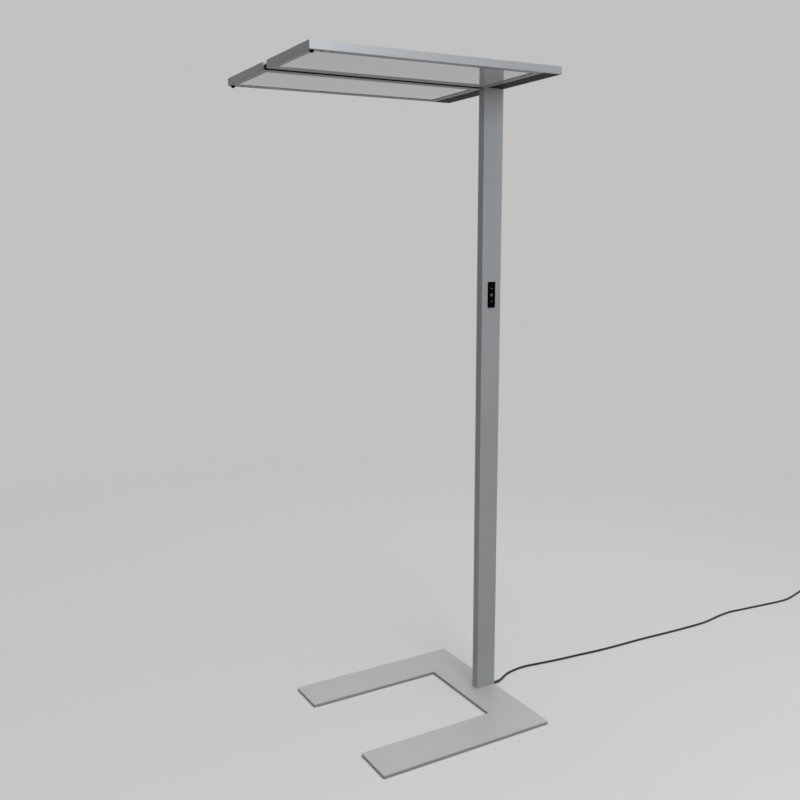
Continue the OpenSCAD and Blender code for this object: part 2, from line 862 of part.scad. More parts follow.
module keypad_switches() {
    color(nickel)
        on_column_face() translate([0, 0, tray_wall + keypad_board_t - tray_depth])
            for (k = [-1:1])
                translate([0, k * key_pitch, 0]) {
                    linear_extrude(switch_h) square([switch_w, switch_w], center = true);
                    cylinder(d = stem_d - 1, h = switch_h + switch_plunger_h);
                }
}

// ---- Wiring inside ----

module column_cable() {
    color(black) {
        translate([cable_x0, 0, cord_z + bend_r]) rotate([90, 90, 0])
            rotate_extrude(angle = 90) translate([bend_r, 0]) circle(d = cord_d);
        translate([cable_x, 0, cord_z + bend_r])
            cylinder(d = cord_d, h = spine_mid - splice_l - cord_z - bend_r);
    }
}

module head_leads() {
    color(black) {
        translate([cable_x, driver_y0, spine_mid]) rotate([90, 0, 0]) cylinder(d = lead_d, h = 2 * driver_y0);
        translate([cable_x, 0, spine_mid - splice_l]) cylinder(d = cord_d, h = splice_l);
    }
}

// ---- Free lead ----

module cord_relief() {
    groove = 0.8;
    color(black)
        difference() {
            union() {
                translate([x_back, -cord_d / 2, cord_z - cord_d / 2]) cube([relief_in, cord_d, cord_d]);
                translate([x_back - relief_collar_t, 0, cord_z]) rotate([0, 90, 0])
                    cylinder(d = 11, h = relief_collar_t);
                translate([relief_x, 0, cord_z]) rotate([0, 90, 0])
                    cylinder(d1 = cord_d + 1, d2 = cord_d + 2.6, h = relief_tail);
            }
            for (k = [1:3])
                translate([relief_x + k * relief_tail / 4, 0, cord_z]) rotate([0, 90, 0])
                    difference() {
                        cylinder(d = cord_d + 4, h = groove);
                        translate([0, 0, -1]) cylinder(d = cord_d + 0.6, h = groove + 2);
                    }
        }
}

module cord_lead() {
    color(black) tube(smooth(lead_route, lead_step), cord_d / 2, 8);
}

coil_points = concat([coil_start], [for (i = [0:coil_steps]) coil_at(i / coil_rings)], [coil_end]);

// Least distance between two turns, less the lead's own thickness
coil_self_gap = min([for (i = [0:coil_steps], j = [i + coil_rings / 2:coil_steps])
    norm(coil_at(i / coil_rings) - coil_at(j / coil_rings))]) - cord_d;
echo(coil_self_gap = coil_self_gap);
echo(lead_length = path_length(smooth(lead_route, lead_step)), coil_length = path_length(coil_points),
    tail_length = path_length(smooth(tail_route, tail_step)));

module cord_coil() {
    color(black) tube(coil_points, cord_d / 2, 6);
}

module cord_tail() {
    color(black) tube(smooth(tail_route, tail_step), cord_d / 2, 8);
}

// Moulded earthed plug: its profile from the pins' face back to the lead
module plug_body() {
    r = plug_d / 2;
    neck = plug_neck_d / 2;
    back = plug_body_l + plug_relief_l;
    profile = [[0, 0], [r - 1, 0], [r, 1], [r, 11], [r - 3, 14], [r - 4.5, plug_body_l - 4],
        [neck, plug_body_l], [plug_relief_d / 2 + 1, plug_body_l + 5], [plug_relief_d / 2, back], [0, back]];
    color(black)
        translate([plug_x, plug_back + back, plug_flat]) rotate([90, 0, 0]) difference() {
            rotate_extrude() polygon(profile);
            for (s = [-1, 1]) {
                translate([-r, s * (r + plug_flat) - r, -1]) cube([2 * r, 2 * r, back + 2]);
                translate([-3.5, s * (plug_flat - 1) - 1.5, -1]) cube([7, 3, 13]);
            }
            for (k = [1:5])
                translate([0, 0, plug_body_l + 5 + k * 5])
                    difference() {
                        cylinder(r = neck, h = 1.6);
                        translate([0, 0, -1]) cylinder(d = cord_d + 0.8, h = 4);
                    }
        }
}

module plug_pins() {
    tip = 1;
    color(nickel)
        for (s = [-1, 1])
            translate([plug_x + s * pin_pitch / 2, plug_back + plug_body_l + plug_relief_l, plug_flat])
                rotate([-90, 0, 0]) {
                    cylinder(d = pin_d, h = pin_l - tip);
                    translate([0, 0, pin_l - tip]) cylinder(d1 = pin_d, d2 = pin_d - 2 * tip, h = tip);
                }
}

// ---- Assembly ----

base_plate();
base_glides();
base_screws();
column_profile();
column_cap();
column_cable();
head_bracket();
head_spine();
spine_cap();
spine_screws();
column_screws();
head_leads();
frame();  // near_frame
rear_cover();  // near_rear_cover
diffuser();  // near_diffuser
light_guide();  // near_light_guide
led_strips();  // near_led_strips
reflector();  // near_reflector
back_plate();  // near_back_plate
uplight_board();  // near_uplight_board
uplight_window();  // near_uplight_window
top_cover();  // near_top_cover
driver();  // near_driver
pir_lens();  // near_pir_lens
light_sensor();  // near_light_sensor
remote_eye();  // near_remote_eye
sensor_board();  // near_sensor_board
far_side() frame();  // far_frame
far_side() rear_cover();  // far_rear_cover
far_side() diffuser();  // far_diffuser
far_side() light_guide();  // far_light_guide
far_side() led_strips();  // far_led_strips
far_side() reflector();  // far_reflector
far_side() back_plate();  // far_back_plate
far_side() uplight_board();  // far_uplight_board
far_side() uplight_window();  // far_uplight_window
far_side() top_cover();  // far_top_cover
far_side() driver();  // far_driver
far_side() pir_lens();  // far_pir_lens
far_side() light_sensor();  // far_light_sensor
far_side() remote_eye();  // far_remote_eye
far_side() sensor_board();  // far_sensor_board
top_cover_screws();
keypad_bezel();
keypad_tray();
keypad_board();
keypad_switches();
key_up();
key_power();
key_down();
cord_relief();
cord_lead();
cord_coil();
cord_tail();
plug_body();
plug_pins();
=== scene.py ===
"""Looks of an office floor lamp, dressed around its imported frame.

A slim column on a U-shaped steel plate carries two flat light panels side by side. Every size is in metres,
in the frame's own axes: +X from the column to the tip of the head, +Y towards the keypad's side, +Z up, and
the floor at 0.
"""

from __future__ import annotations

import json
import logging
import math
import sys
from dataclasses import dataclass, field
from enum import Enum
from typing import Any

import bmesh
import bpy
import numpy as np
from mathutils import Euler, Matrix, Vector

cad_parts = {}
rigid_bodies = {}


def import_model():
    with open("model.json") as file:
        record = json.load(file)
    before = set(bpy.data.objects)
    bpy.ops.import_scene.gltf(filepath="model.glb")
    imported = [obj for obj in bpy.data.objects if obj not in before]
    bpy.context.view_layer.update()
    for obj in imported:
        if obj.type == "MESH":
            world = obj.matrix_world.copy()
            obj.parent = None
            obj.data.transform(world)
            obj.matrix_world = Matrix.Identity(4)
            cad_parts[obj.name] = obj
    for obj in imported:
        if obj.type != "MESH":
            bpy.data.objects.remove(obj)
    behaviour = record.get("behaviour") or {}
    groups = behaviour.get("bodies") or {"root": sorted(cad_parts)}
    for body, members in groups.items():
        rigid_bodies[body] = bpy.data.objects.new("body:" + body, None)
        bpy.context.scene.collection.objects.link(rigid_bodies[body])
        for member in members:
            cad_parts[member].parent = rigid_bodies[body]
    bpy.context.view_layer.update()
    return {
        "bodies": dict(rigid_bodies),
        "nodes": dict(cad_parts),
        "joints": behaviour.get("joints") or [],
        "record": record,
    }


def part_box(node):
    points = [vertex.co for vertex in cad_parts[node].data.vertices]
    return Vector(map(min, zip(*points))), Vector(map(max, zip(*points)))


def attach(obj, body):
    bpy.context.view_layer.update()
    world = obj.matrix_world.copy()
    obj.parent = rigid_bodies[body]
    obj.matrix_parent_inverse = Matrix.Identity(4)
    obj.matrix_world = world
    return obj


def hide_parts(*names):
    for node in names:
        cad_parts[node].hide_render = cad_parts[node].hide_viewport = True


LOG = logging.getLogger("floor_lamp")
LAMP = "lamp"
MM = 0.001
# Edges sharper than SHARP are rounded, where they join into a run with one longer than LONG_EDGE in it
SHARP = math.radians(50.0)
LONG_EDGE = 8.0 * MM
EASING_STEPS = 2
# Edges sharper than CREASE stay hard lines in the shading
CREASE = math.radians(40.0)
# Points nearer than WELD become one, and so do faces that turn by less than FLAT
WELD = 0.002 * MM
FLAT = math.radians(0.2)

Triple = tuple[float, float, float]
Colour = Triple
Piece = bpy.types.Object
Socket = bpy.types.NodeSocket


class Slot(Enum):
    """The record's material slots, which a scene may repaint."""

    BASE_PAINT = "base_paint"
    RUBBER_FEET = "rubber_feet"
    ZINC_STEEL = "zinc_steel"
    SILVER_ALUMINIUM = "silver_aluminium"
    BLACK_ALUMINIUM = "black_aluminium"
    BLACK_PLASTIC = "black_plastic"
    KEYPAD_GLOSS = "keypad_gloss"
    OPAL_ACRYLIC = "opal_acrylic"
    CLEAR_ACRYLIC = "clear_acrylic"
    WHITE_SHEET = "white_sheet"
    BACK_ALUMINIUM = "back_aluminium"
    LED_BOARD = "led_board"
    DRIVER_CASE = "driver_case"
    CIRCUIT_BOARD = "circuit_board"
    NICKEL_PLATE = "nickel_plate"
    LEAD_JACKET = "lead_jacket"
    LEAD_RUBBER = "lead_rubber"


class Side(Enum):
    """The two light panels, by the first word of their nodes' names. The near one is on the keypad's side."""

    NEAR = "near"
    FAR = "far"


class Mark(Enum):
    """What is printed on a key."""

    BRIGHTER = "triangle pointing up"
    POWER = "open ring with a bar"
    DIMMER = "triangle pointing down"


# ---- Shader node groups ----


class Graph:
    """A shader node tree, with short calls to add nodes and links to it."""

    def __init__(self, tree: bpy.types.NodeTree) -> None:
        """Keeps the tree that the calls add to."""
        self.tree = tree

    def node(self, kind: str, inputs: dict[str | int, Any] | None = None, **settings: Any) -> bpy.types.Node:
        """Adds one node.

        Args:
            kind: Blender's name of the node type, without its "ShaderNode" start.
            inputs: A value, or an output socket to link, for each input by name or number.
            settings: Properties of the node itself.

        Returns:
            The new node.
        """
        made = self.tree.nodes.new(kind if kind.startswith("Node") else "ShaderNode" + kind)
        for name, value in settings.items():
            setattr(made, name, value)
        for key, value in (inputs or {}).items():
            if isinstance(value, Socket):
                self.tree.links.new(value, made.inputs[key])
            else:
                made.inputs[key].default_value = value
        return made

    def link(self, output: Socket, socket: Socket) -> None:
        """Joins an output to an input."""
        self.tree.links.new(output, socket)

    def math(self, operation: str, *values: Any) -> Socket:
        """Adds one sum of the values or sockets, in order, under Blender's name of the operation."""
        return self.node("Math", dict(enumerate(values)), operation=operation).outputs[0]

    def noise(self, place: Any, scale: Any, detail: float, distortion: float = 0.0) -> Socket:
        """Adds soft noise.

        Args:
            place: The vector socket that it is read at.
            scale: Waves per unit of that vector.
            detail: Finer layers on top.
            distortion: How far it is stirred.

        Returns:
            The socket of the noise, about 0 to 1.
        """
        inputs = {"Vector": place, "Scale": scale, "Detail": detail, "Distortion": distortion}
        return self.node("TexNoise", inputs).outputs["Fac"]

    def mix(self, share: Any, first: Any, second: Any) -> Socket:
        """Adds a blend of two colours, whose factor is input 0, colours 6 and 7, and result output 2."""
        return self.node("Mix", {0: share, 6: first, 7: second}, data_type="RGBA").outputs[2]

    def effect(self, effect: Effect, inputs: dict[str, Any]) -> bpy.types.Node:
        """Places a shared group, with values or sockets for its inputs."""
        return self.node("Group", inputs, node_tree=effect.tree())

    def place(self, scale: Triple = (1.0, 1.0, 1.0)) -> Socket:
        """Object coordinates, stretched by a scale along each axis."""
        coordinates = self.node("TexCoord").outputs["Object"]
        return self.node("Mapping", {"Vector": coordinates, "Scale": scale}).outputs["Vector"]


class Surface(Graph):
    """A material's graph, with its Principled shader."""

    def __init__(self, made: bpy.types.Material) -> None:
        """Keeps the material's tree and its shader."""
        super().__init__(made.node_tree)
        self.shader = made.node_tree.nodes["Principled BSDF"]

    def set(self, name: str, value: Any) -> None:
        """Sets one of the shader's own values."""
        self.shader.inputs[name].default_value = value

    def drive(self, name: str, output: Socket) -> None:
        """Joins an output to one of the shader's inputs."""
        self.link(output, self.shader.inputs[name])

    def bump(self, height: Socket, depth: float) -> None:
        """Raises the surface by a height, from 0 to 1, where 1 is so many metres."""
        raised = self.node("Bump", {"Height": height, "Distance": depth, "Strength": 1.0})
        self.drive("Normal", raised.outputs["Normal"])


class Effect(Enum):
    """The node groups that the finishes share. Each is built once, when it is first asked for."""

    FLAKE = "metal_flake"
    HANDLING = "soft_handling"
    DUST = "settled_dust"
    DRAWN = "drawn_lines"
    GRAIN = "moulded_grain"

    def tree(self) -> bpy.types.NodeTree:
        """The group's node tree, made now if it isn't there yet."""
        return bpy.data.node_groups.get(self.value) or _MAKERS[self]()


def new_group(
    name: str, inputs: dict[str, tuple[str, Any]], outputs: dict[str, str]
) -> tuple[Graph, Any, Any]:
    """Starts a shader node group with named sockets.

    Args:
        name: The group's name.
        inputs: The kind and the default value of each input socket.
        outputs: The kind of each output socket.

    Returns:
        The group's graph, the input node's outputs, and the output node's inputs.
    """
    tree = bpy.data.node_groups.new(name, "ShaderNodeTree")
    for socket, (kind, value) in inputs.items():
        made = tree.interface.new_socket(name=socket, in_out="INPUT", socket_type="NodeSocket" + kind)
        made.default_value = value
    for socket, kind in outputs.items():
        tree.interface.new_socket(name=socket, in_out="OUTPUT", socket_type="NodeSocket" + kind)
    graph = Graph(tree)
    return graph, graph.node("NodeGroupInput").outputs, graph.node("NodeGroupOutput").inputs


def make_flake() -> bpy.types.NodeTree:
    """Fine metal flakes in a paint: small cells of lighter and darker tone, under a slight orange peel.

    Returns:
        The group, with Colour and Height outputs.
    """
    graph, given, out = new_group(
        Effect.FLAKE.value,
        {"Colour": ("Color", (0.5, 0.5, 0.5, 1.0)), "Contrast": ("Float", 0.1), "Scale": ("Float", 1800.0)},
        {"Colour": "Color", "Height": "Float"},
    )
    place = graph.place()
    cells = graph.node("TexVoronoi", {"Vector": place, "Scale": given["Scale"]})
    tone = graph.node("SeparateColor", {"Color": cells.outputs["Color"]}).outputs["Red"]
    # The tone and the cloud are each a half on average
    cloud = 0.8
    both = graph.math("MULTIPLY_ADD", graph.noise(place, scale=3.0, detail=3.0), cloud, tone)
    swing = graph.math("MULTIPLY", graph.math("SUBTRACT", both, (1.0 + cloud) / 2), given["Contrast"])
    value = graph.math("ADD", swing, 1.0)
    shaded = graph.node("HueSaturation", {"Color": given["Colour"], "Value": value})
    graph.link(shaded.outputs["Color"], out["Colour"])
    graph.link(graph.noise(place, scale=420.0, detail=1.0), out["Height"])
    return graph.tree


def make_handling() -> bpy.types.NodeTree:
    """Roughness that drifts over a surface, as where hands and cloths have passed.

    Returns:
        The group, with a Roughness output.
    """
    graph, given, out = new_group(
        Effect.HANDLING.value,
        {"Roughness": ("Float", 0.4), "Spread": ("Float", 0.1), "Scale": ("Float", 9.0)},
        {"Roughness": "Float"},
    )
    smears = graph.noise(graph.place((1.0, 1.0, 0.35)), given["Scale"], detail=5.0, distortion=0.6)
    swing = graph.math("MULTIPLY", graph.math("SUBTRACT", smears, 0.5), given["Spread"])
    graph.link(graph.math("ADD", given["Roughness"], swing), out["Roughness"])
    return graph.tree


def make_dust() -> bpy.types.NodeTree:
    """A film of dust on what faces up, thicker in soft patches.

    Returns:
        The group, with a Colour output.
    """
    graph, given, out = new_group(
        Effect.DUST.value,
        {
            "Colour": ("Color", (0.5, 0.5, 0.5, 1.0)),
            "Dust": ("Color", (0.6, 0.58, 0.55, 1.0)),
            "Amount": ("Float", 0.1),
        },
        {"Colour": "Color"},
    )
    normal = graph.node("NewGeometry").outputs["Normal"]
    up = graph.node("SeparateXYZ", {0: normal}).outputs["Z"]
    lying = graph.node("MapRange", {"Value": up, "From Min": 0.5, "From Max": 1.0}).outputs["Result"]
    place = graph.place()
    patches = graph.noise(place, scale=14.0, detail=6.0)
    specks = graph.noise(place, scale=900.0, detail=1.0)
    lying = graph.math("MULTIPLY", lying, given["Amount"])
    film = graph.math("MULTIPLY", graph.math("MULTIPLY", patches, specks), lying)
    # The two noises multiplied are about a quarter on average
    mask = graph.math("MULTIPLY", film, 4.0)
    graph.link(graph.mix(mask, given["Colour"], given["Dust"]), out["Colour"])
    return graph.tree


def make_drawn() -> bpy.types.NodeTree:
    """Fine lines along an extrusion, from the die it was drawn through.

    Returns:
        The group, with a Height output.
    """
    graph, given, out = new_group(
        Effect.DRAWN.value,
        {"Along": ("Vector", (1.0, 1.0, 0.004)), "Scale": ("Float", 900.0)},
        {"Height": "Float"},
    )
    coordinates = graph.node("TexCoord").outputs["Object"]
    place = graph.node("VectorMath", {0: coordinates, 1: given["Along"]}, operation="MULTIPLY").outputs[0]
    graph.link(graph.noise(place, given["Scale"], detail=2.0), out["Height"])
    return graph.tree


def make_grain() -> bpy.types.NodeTree:
    """The spark-eroded grain of a mould, as rounded pits.

    Returns:
        The group, with a Height output.
    """
    graph, given, out = new_group(Effect.GRAIN.value, {"Scale": ("Float", 1400.0)}, {"Height": "Float"})
    pits = graph.node("TexVoronoi", {"Vector": graph.place(), "Scale": given["Scale"]}, feature="SMOOTH_F1")
    graph.link(pits.outputs["Distance"], out["Height"])
    return graph.tree


_MAKERS = {
    Effect.FLAKE: make_flake,
    Effect.HANDLING: make_handling,
    Effect.DUST: make_dust,
    Effect.DRAWN: make_drawn,
    Effect.GRAIN: make_grain,
}


# ---- Finishes ----


@dataclass(frozen=True)
class Finish:
    """What all finishes share: a colour, and a roughness that drifts by its spread."""

    name: str
    colour: Colour
    roughness: float = 0.5
    spread: float = 0.08
    metallic: float = 0.0
    ior: float = 1.5

    def material(self) -> bpy.types.Material:
        """Makes the Blender material of this finish, the first time it is asked for.

        Returns:
            The material.
        """
        found = bpy.data.materials.get(self.name)
        if found:
            return found
        made = bpy.data.materials.new(self.name)
        made.use_nodes = True
        made.diffuse_color = (*self.colour, 1.0)
        surface = Surface(made)
        surface.set("Base Color", (*self.colour, 1.0))
        surface.set("Metallic", self.metallic)
        surface.set("IOR", self.ior)
        handling = surface.effect(Effect.HANDLING, {"Roughness": self.roughness, "Spread": self.spread})
        surface.drive("Roughness", handling.outputs["Roughness"])
        self.shade(surface)
        return made

    def shade(self, surface: Surface) -> None:
        """Adds what a kind of finish has beyond colour and roughness. Each kind has its own."""
        raise NotImplementedError


@dataclass(frozen=True)
class Toned(Finish):
    """A finish whose colour is broken up by fine cells, so many to a metre, under dust on what faces up."""

    contrast: float = 0.1
    cells: float = 1200.0
    dust: float = 0.0

    def tone(self, surface: Surface) -> Socket:
        """Gives the surface its broken-up colour and its dust.

        Args:
            surface: The material's graph.

        Returns:
            The height socket of a slight orange peel.
        """
        inputs = {"Colour": (*self.colour, 1.0), "Contrast": self.contrast, "Scale": self.cells}
        flake = surface.effect(Effect.FLAKE, inputs).outputs
        colour = flake["Colour"]
        if self.dust:
            colour = surface.effect(Effect.DUST, {"Colour": colour, "Amount": self.dust}).outputs["Colour"]
        surface.drive("Base Color", colour)
        return flake["Height"]


@dataclass(frozen=True)
class FlakePaint(Toned):
    """Satin coating with metal flakes under a thin clear layer, and a little dust on what faces up."""

    contrast: float = 0.16
    cells: float = 1900.0
    dust: float = 0.1
    peel: float = 0.012 * MM
    coat: float = 0.15
    coat_roughness: float = 0.2
    drawn: float = 0.0

    def shade(self, surface: Surface) -> None:
        """Adds the flakes, the orange peel or the drawn lines, the clear layer and the dust.

        Args:
            surface: The material's graph.
        """
        height = self.tone(surface)
        surface.set("Coat Weight", self.coat)
        surface.set("Coat Roughness", self.coat_roughness)
        if self.drawn:
            lines = surface.effect(Effect.DRAWN, {}).outputs["Height"]
            height = surface.math("MULTIPLY_ADD", lines, self.drawn, height)
        surface.bump(height, self.peel)


@dataclass(frozen=True)
class Moulded(Toned):
    """Moulded plastic or rubber, with the grain of its mould, and other plain matt surfaces."""

    contrast: float = 0.12
    cells: float = 1400.0
    dust: float = 0.06
    grain: float = 0.03 * MM

    def shade(self, surface: Surface) -> None:
        """Adds the grain, a faint change of tone and the dust.

        Args:
            surface: The material's graph.
        """
        self.tone(surface)
        grain = surface.effect(Effect.GRAIN, {"Scale": self.cells})
        surface.bump(grain.outputs["Height"], self.grain)


@dataclass(frozen=True)
class GlossSheet(Toned):
    """Smooth gloss, such as the opal diffuser's and the keys': slow waves, so many to a metre."""

    contrast: float = 0.03
    cells: float = 240.0
    coat: float = 0.0
    waves: float = 16.0
    waviness: float = 0.004 * MM

    def shade(self, surface: Surface) -> None:
        """Adds a cloudy tone, the clear layer and the waves.

        Args:
            surface: The material's graph.
        """
        self.tone(surface)
        surface.set("Coat Weight", self.coat)
        surface.set("Coat Roughness", self.roughness)
        surface.bump(surface.noise(surface.place(), self.waves, detail=1.0), self.waviness)


@dataclass(frozen=True)
class ClearSheet(Toned):
    """Clear acrylic, as the light guide is."""

    contrast: float = 0.02
    cells: float = 300.0
    clearness: float = 0.9

    def shade(self, surface: Surface) -> None:
        """Lets light through."""
        surface.set("Transmission Weight", self.clearness)
        self.tone(surface)


@dataclass(frozen=True)
class BareMetal(Toned):
    """Plated or mill-finish metal, with lines from its drawing or turning."""

    lines: float = 0.006 * MM
    along: Triple = (1.0, 1.0, 0.01)

    def shade(self, surface: Surface) -> None:
        """Adds the lines and a slight change of tone.

        Args:
            surface: The material's graph.
        """
        self.tone(surface)
        lines = surface.effect(Effect.DRAWN, {"Along": self.along})
        surface.bump(lines.outputs["Height"], self.lines)


@dataclass(frozen=True)
class Jacket(Toned):
    """The lead's extruded jacket: a slight ripple, drawn out along it, in its own UV map."""

    contrast: float = 0.12
    cells: float = 900.0
    ripple: float = 0.06 * MM
    ripples: Triple = (9.0, 60.0, 1.0)

    def shade(self, surface: Surface) -> None:
        """Adds the ripple. The map's U is metres along the lead, and V is turns about it from one side.

        Args:
            surface: The material's graph.
        """
        self.tone(surface)
        uv = surface.node("UVMap", uv_map="along").outputs["UV"]
        stretched = surface.node("Mapping", {"Vector": uv, "Scale": self.ripples}).outputs["Vector"]
        surface.bump(surface.noise(stretched, scale=1.0, detail=3.0), self.ripple)


def seen_rays(graph: Graph) -> Socket:
    """Tells the rays that are seen from those that only light a surface.

    Args:
        graph: The tree that it is added to.

    Returns:
        The socket: 1 for rays that the camera, a mirror or a clear sheet sees, and 0 for the others.
    """
    path = graph.node("LightPath").outputs
    mirrored = graph.math("MAXIMUM", path["Is Glossy Ray"], path["Is Transmission Ray"])
    return graph.math("MAXIMUM", path["Is Camera Ray"], mirrored)


@dataclass(frozen=True)
class StudioFloor(Finish):
    """The pale floor: it takes the lamp's shadow near by, and fades into the backdrop further out."""

    backdrop: Colour = (0.54, 0.536, 0.531)
    bounce: float = 0.16
    fade_from: float = 1.0
    fade_to: float = 4.0

    def shade(self, surface: Surface) -> None:
        """Fades the lit floor into a plain glow of the backdrop's colour, dims both for rays that only light,
        and leaves the floor clear from below, so that the lamp's underside can be looked at.

        Args:
            surface: The material's graph.
        """
        seen = seen_rays(surface)
        dim = (self.bounce, self.bounce, self.bounce, 1.0)
        near, far = (surface.mix(seen, dim, (*colour, 1.0)) for colour in (self.colour, self.backdrop))
        surface.drive("Base Color", near)
        level = {0: surface.place(), 1: (1.0, 1.0, 0.0)}
        flat = surface.node("VectorMath", level, operation="MULTIPLY").outputs[0]
        reach = surface.node("VectorMath", {0: flat}, operation="LENGTH").outputs["Value"]
        fade = surface.node(
            "MapRange",
            {"Value": reach, "From Min": self.fade_from, "From Max": self.fade_to},
            interpolation_type="SMOOTHSTEP",
        ).outputs["Result"]
        glow = surface.node("Emission", {"Color": far, "Strength": 1.0}).outputs[0]
        mixed = surface.node("MixShader", {0: fade, 1: surface.shader.outputs[0], 2: glow}).outputs[0]
        under = surface.node("NewGeometry").outputs["Backfacing"]
        clear = surface.node("BsdfTransparent").outputs[0]
        both = surface.node("MixShader", {0: under, 1: mixed, 2: clear})
        surface.link(both.outputs[0], surface.tree.nodes["Material Output"].inputs["Surface"])


SILVER = (0.46, 0.468, 0.476)
# A lighter silver for the rounded edges: a painted highlight, where light would catch them
SILVER_HIGHLIGHT_COLOUR = (0.49, 0.498, 0.506)

# Each finish gives its name, colour, roughness, spread, metallic and index of refraction first, in that order
FINISHES: dict[Slot, Finish] = {
    Slot.BASE_PAINT: FlakePaint("silver_powder_coat", SILVER, 0.42, 0.1, 0.25, 1.3, coat=0.06, dust=0.16),
    Slot.RUBBER_FEET: Moulded("foot_rubber", (0.02, 0.02, 0.02), 0.75),
    Slot.ZINC_STEEL: BareMetal("zinc_plated_steel", (0.55, 0.56, 0.58), 0.32, 0.1, 1.0),
    Slot.SILVER_ALUMINIUM: FlakePaint(
        "silver_aluminium_coat", SILVER, 0.4, 0.08, 0.3, 1.07, coat=0.03, drawn=0.6
    ),
    Slot.BLACK_ALUMINIUM: FlakePaint(
        "black_anodised_aluminium", (0.006, 0.006, 0.0065), 0.6, ior=1.02, contrast=0.1, coat=0.0, drawn=0.8
    ),
    Slot.BLACK_PLASTIC: Moulded("black_moulded_plastic", (0.013, 0.013, 0.0135), 0.5, 0.1, ior=1.12),
    Slot.KEYPAD_GLOSS: GlossSheet("keypad_black_gloss", (0.0015, 0.0015, 0.0018), 0.18, 0.05, ior=1.1),
    Slot.OPAL_ACRYLIC: GlossSheet("opal_acrylic_gloss", (0.9, 0.9, 0.885), 0.03, 0.01, ior=1.49, coat=1.0),
    Slot.CLEAR_ACRYLIC: ClearSheet("clear_acrylic", (0.9, 0.95, 0.95), 0.05, 0.01, ior=1.49),
    Slot.WHITE_SHEET: Moulded("white_reflector_sheet", (0.85, 0.85, 0.84), 0.6, grain=0.01 * MM),
    Slot.BACK_ALUMINIUM: BareMetal(
        "mill_aluminium", (0.7, 0.71, 0.72), 0.35, 0.08, 1.0, along=(0.01, 1.0, 1.0)
    ),
    Slot.LED_BOARD: Moulded("white_solder_mask", (0.8, 0.79, 0.74), 0.4, grain=0.01 * MM),
    Slot.DRIVER_CASE: Moulded("white_driver_case", (0.72, 0.72, 0.7), 0.45),
    Slot.CIRCUIT_BOARD: Moulded("green_solder_mask", (0.03, 0.16, 0.08), 0.35, grain=0.01 * MM),
    Slot.NICKEL_PLATE: BareMetal("nickel_plate", (0.68, 0.66, 0.6), 0.16, 0.06, 1.0, along=(1.0, 0.02, 1.0)),
    Slot.LEAD_JACKET: Jacket("lead_jacket", (0.012, 0.012, 0.0125), 0.42, 0.1),
    Slot.LEAD_RUBBER: Moulded("soft_black_rubber", (0.013, 0.013, 0.0135), 0.55),
}
# A lighter copy of the silver finish for the rounded edges: a painted highlight along them
SILVER_PAINTED_HIGHLIGHT = FlakePaint("silver_painted_highlight_edge", SILVER_HIGHLIGHT_COLOUR, 0.34, 0.05, 0.4, contrast=0.1, dust=0.0)
# A lighter copy of the black finish for the spine's rounded edges: a painted highlight along them
BLACK_PAINTED_HIGHLIGHT = FlakePaint(
    "black_painted_highlight_edge", (0.009, 0.009, 0.0095), 0.5, 0.05, ior=1.04, contrast=0.1, dust=0.0, coat=0.0
)
PRINT = Moulded("pale_key_print", (0.5, 0.51, 0.52), 0.5, grain=0.005 * MM)
OPAL_WINDOW = Moulded("satin_opal_window", (0.66, 0.66, 0.645), 0.45, grain=0.01 * MM, dust=0.14)


# ---- Meshes ----


def grid_faces(rows: int, columns: int, closed: bool = False) -> np.ndarray:
    """Quads between neighbouring points of a grid.

    Args:
        rows: Points along the grid's first parameter.
        columns: Points along its second.
        closed: Whether the last column joins the first.

    Returns:
        The corner numbers of each quad, one quad a row.
    """
    i, j = np.meshgrid(np.arange(rows - 1), np.arange(columns if closed else columns - 1), indexing="ij")
    down, across = i + 1, (j + 1) % columns
    corners = (i * columns + j, down * columns + j, down * columns + across, i * columns + across)
    return np.stack([c.ravel() for c in corners], axis=1)


def new_object(name: str, data: bpy.types.ID) -> Piece:
    """Puts an object in the scene, at the origin.

    Args:
        name: Its name.
        data: Its mesh, lamp or camera.

    Returns:
        The object.
    """
    made = bpy.data.objects.new(name, data)
    bpy.context.scene.collection.objects.link(made)
    return made


def put_mesh(name: str, points: np.ndarray, faces: list[list[int]], smooth: bool = True) -> Piece:
    """Makes an object of a mesh, at the origin.

    Args:
        name: The object's name.
        points: The vertices, one a row.
        faces: The vertex numbers of each face.
        smooth: Whether its faces shade smoothly.

    Returns:
        The object.
    """
    mesh = bpy.data.meshes.new(name)
    mesh.from_pydata(points.reshape(-1, 3).tolist(), [], faces)
    mesh.polygons.foreach_set("use_smooth", np.full(len(mesh.polygons), smooth))
    mesh.update()
    return new_object(name, mesh)


def closed_tube(name: str, rings: np.ndarray, smooth: bool = True) -> Piece:
    """Joins rings of points into a closed skin with a flat cap at each end, and turns its faces outwards.

    Args:
        name: The object's name.
        rings: Points by ring, by place round the ring, by axis.
        smooth: Whether its faces shade smoothly.

    Returns:
        The object.
    """
    count, sides = rings.shape[:2]
    faces = grid_faces(count, sides, closed=True).tolist()
    last = (count - 1) * sides
    faces += [list(range(sides)), list(range(last, last + sides))]
    made = put_mesh(name, rings, faces, smooth)
    work = bmesh.new()
    work.from_mesh(made.data)
    bmesh.ops.recalc_face_normals(work, faces=work.faces)
    work.to_mesh(made.data)
    work.free()
    return made


def turns_of(sides: int) -> np.ndarray:
    """The angles of points spread evenly round a circle."""
    return np.arange(sides) * math.tau / sides


